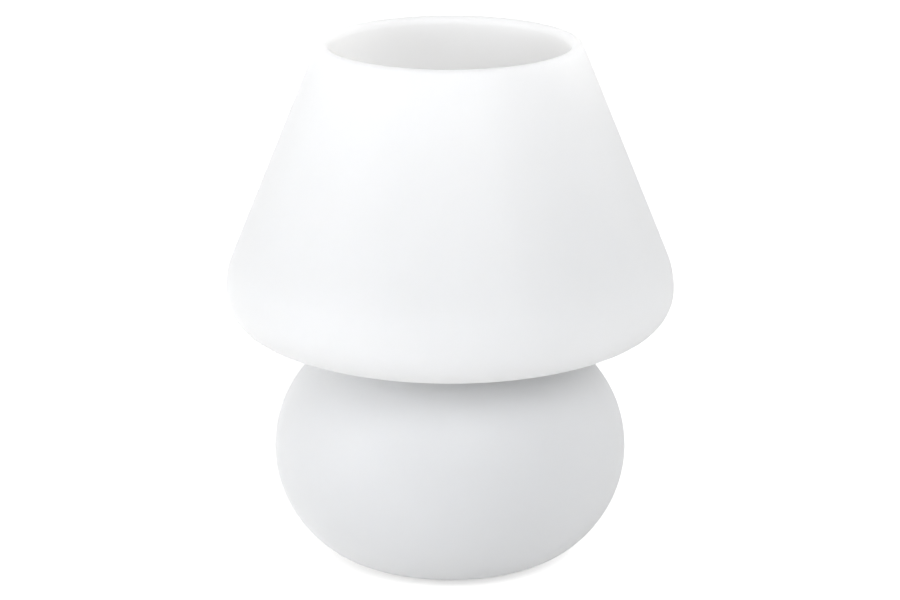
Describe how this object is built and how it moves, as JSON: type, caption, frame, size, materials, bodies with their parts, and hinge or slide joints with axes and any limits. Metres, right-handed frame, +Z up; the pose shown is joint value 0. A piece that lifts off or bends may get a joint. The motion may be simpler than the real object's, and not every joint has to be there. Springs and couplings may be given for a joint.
{
  "type": "mushroom table lamp",
  "caption": "Table lamp in one piece of satin opal glass: open conical shade, narrow waist and round base, with a clamped foot and a screw-in bulb.",
  "frame": {"origin": "centre of the foot ring's lower face, on the surface that the lamp stands on", "axes": "+Z up along the lamp's axis, +Y towards the back, where the cord inlet is"},
  "size_m": [0.16, 0.16, 0.1892],
  "materials": {
    "opal_glass": "satin white opal glass, acid-etched",
    "soft_ring": "translucent soft silicone",
    "soft_bush": "white soft vinyl",
    "gasket": "matt black",
    "zinc_steel": "zinc plated",
    "white_steel": "white powder coat",
    "brass": "turned",
    "nickel": "nickel plated brass",
    "spring_steel": "spring wire",
    "moulding": "white thermoset moulding",
    "steatite": "unglazed",
    "black_glass": "black insulator glass",
    "clear_glass": "clear bulb glass",
    "solder": "soldered",
    "filament_coating": "yellow silicone coating",
    "lead_wire": "bright wire",
    "circuit_board": "white board"
  },
  "bodies": {
    "lamp": {"glass_body": "opal_glass", "foot_ring": "soft_ring", "cord_grommet": "soft_bush", "base_plate": "white_steel", "lower_gasket": "gasket", "upper_gasket": "gasket", "clamp_plate": "zinc_steel", "clamp_screws": "zinc_steel", "spring_washers": "zinc_steel", "clamp_nuts": "zinc_steel", "holder_bracket": "zinc_steel", "threaded_nipple": "brass", "nipple_nut": "brass", "lock_washer": "zinc_steel", "holder_base": "moulding", "grub_screw": "zinc_steel", "holder_shell": "moulding", "contact_carrier": "steatite", "thread_sleeve": "nickel", "side_contact": "brass", "centre_terminal": "brass", "contact_spring": "spring_steel", "terminal_blocks": "brass", "terminal_screws": "zinc_steel"},
    "centre_contact": {"centre_contact": "brass"},
    "bulb": {"bulb_cap": "nickel", "bulb_insulator": "black_glass", "bulb_tip": "solder", "bulb_globe": "clear_glass", "bulb_stem": "clear_glass", "filament_wires": "lead_wire", "led_filaments": "filament_coating", "driver_board": "circuit_board"}
  },
  "joints": [
    {"name": "bulb_screw", "type": "hinge", "parent": "lamp", "child": "centre_contact", "pos_m": [0, 0, 0.07], "axis": [0, 0, 1], "range_deg": [0, 1440]},
    {"name": "bulb_lift", "type": "slide", "parent": "centre_contact", "child": "bulb", "axis": [0, 0, 1], "range_m": [0, 0.0113]}
  ],
  "couplings": [
    {"joint": "bulb_lift", "follows": "bulb_screw", "m_per_rad": 0.00044913}
  ]
}
